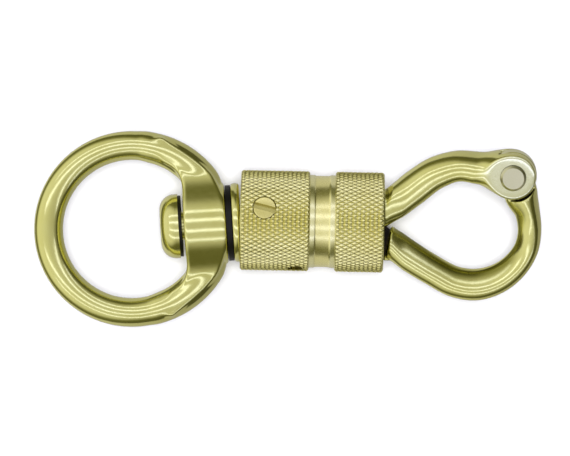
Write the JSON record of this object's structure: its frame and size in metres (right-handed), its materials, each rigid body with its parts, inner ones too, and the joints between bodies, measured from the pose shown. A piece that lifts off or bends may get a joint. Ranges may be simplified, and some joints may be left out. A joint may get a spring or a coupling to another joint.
{
  "type": "snap shackle",
  "caption": "Swivel snap shackle in brass: ring bail on a loose swivel, knurled barrel with a spring-loaded locking sleeve, and a hinged gate that closes a pear-shaped jaw.",
  "frame": {"origin": "centre of the bail's eye, in the plane of its ring", "axes": "+X along the barrel from the bail to the jaw, +Z square to the bail's ring, +Y in the ring's plane, towards the side of the gate's hinge"},
  "size_m": [0.0979, 0.0378, 0.0192],
  "materials": {
    "cast_brass": "polished casting with fine scratches",
    "turned_brass": "turned and polished",
    "knurled_brass": "diamond knurl, satin",
    "screw_brass": "turned, slotted",
    "bush_bronze": "oiled bronze",
    "rivet_metal": "pale rivet metal, satin",
    "washer_steel": "satin",
    "spring_steel": "drawn wire"
  },
  "bodies": {
    "barrel": {"body": "cast_brass", "rear_grip": "knurled_brass", "grip_screw": "screw_brass", "gland_ring": "turned_brass", "spring_seat": "washer_steel", "sleeve_spring": "spring_steel", "hinge_pin": "rivet_metal"},
    "sleeve": {"locking_sleeve": "knurled_brass"},
    "gate": {"gate": "cast_brass"},
    "swivel": {"swivel_pin": "turned_brass", "head_washer": "washer_steel", "thrust_washer": "washer_steel", "swivel_collar": "turned_brass", "swivel_nut": "turned_brass", "nut_lock_pin": "spring_steel"},
    "bail": {"bail": "cast_brass", "swivel_bush": "bush_bronze"}
  },
  "joints": [
    {"name": "swivel_rock", "type": "hinge", "parent": "barrel", "child": "swivel", "pos_m": [0.02641, 0.00215, 0], "axis": [0, 0, 1], "range_deg": [-9.3, 0]},
    {"name": "bail_swivel", "type": "hinge", "parent": "swivel", "child": "bail", "pos_m": [0.02641, 0.00215, 0], "axis": [0.9967, 0.0812, 0], "continuous": true},
    {"name": "gate_swing", "type": "hinge", "parent": "barrel", "child": "gate", "pos_m": [0.07311, 0.01193, 0.00208], "axis": [0, -0.2079, 0.9781], "range_deg": [0, 100]},
    {"name": "sleeve_slide", "type": "slide", "parent": "barrel", "child": "sleeve", "axis": [-1, 0, 0], "range_m": [0, 0.0045], "stiffness_N_per_m": 200, "springref_m": -0.005, "deforming": ["sleeve_spring"]}
  ],
  "couplings": [
    {"joint": "sleeve_slide", "follows": "gate_swing", "m_per_rad": 0.002578}
  ]
}
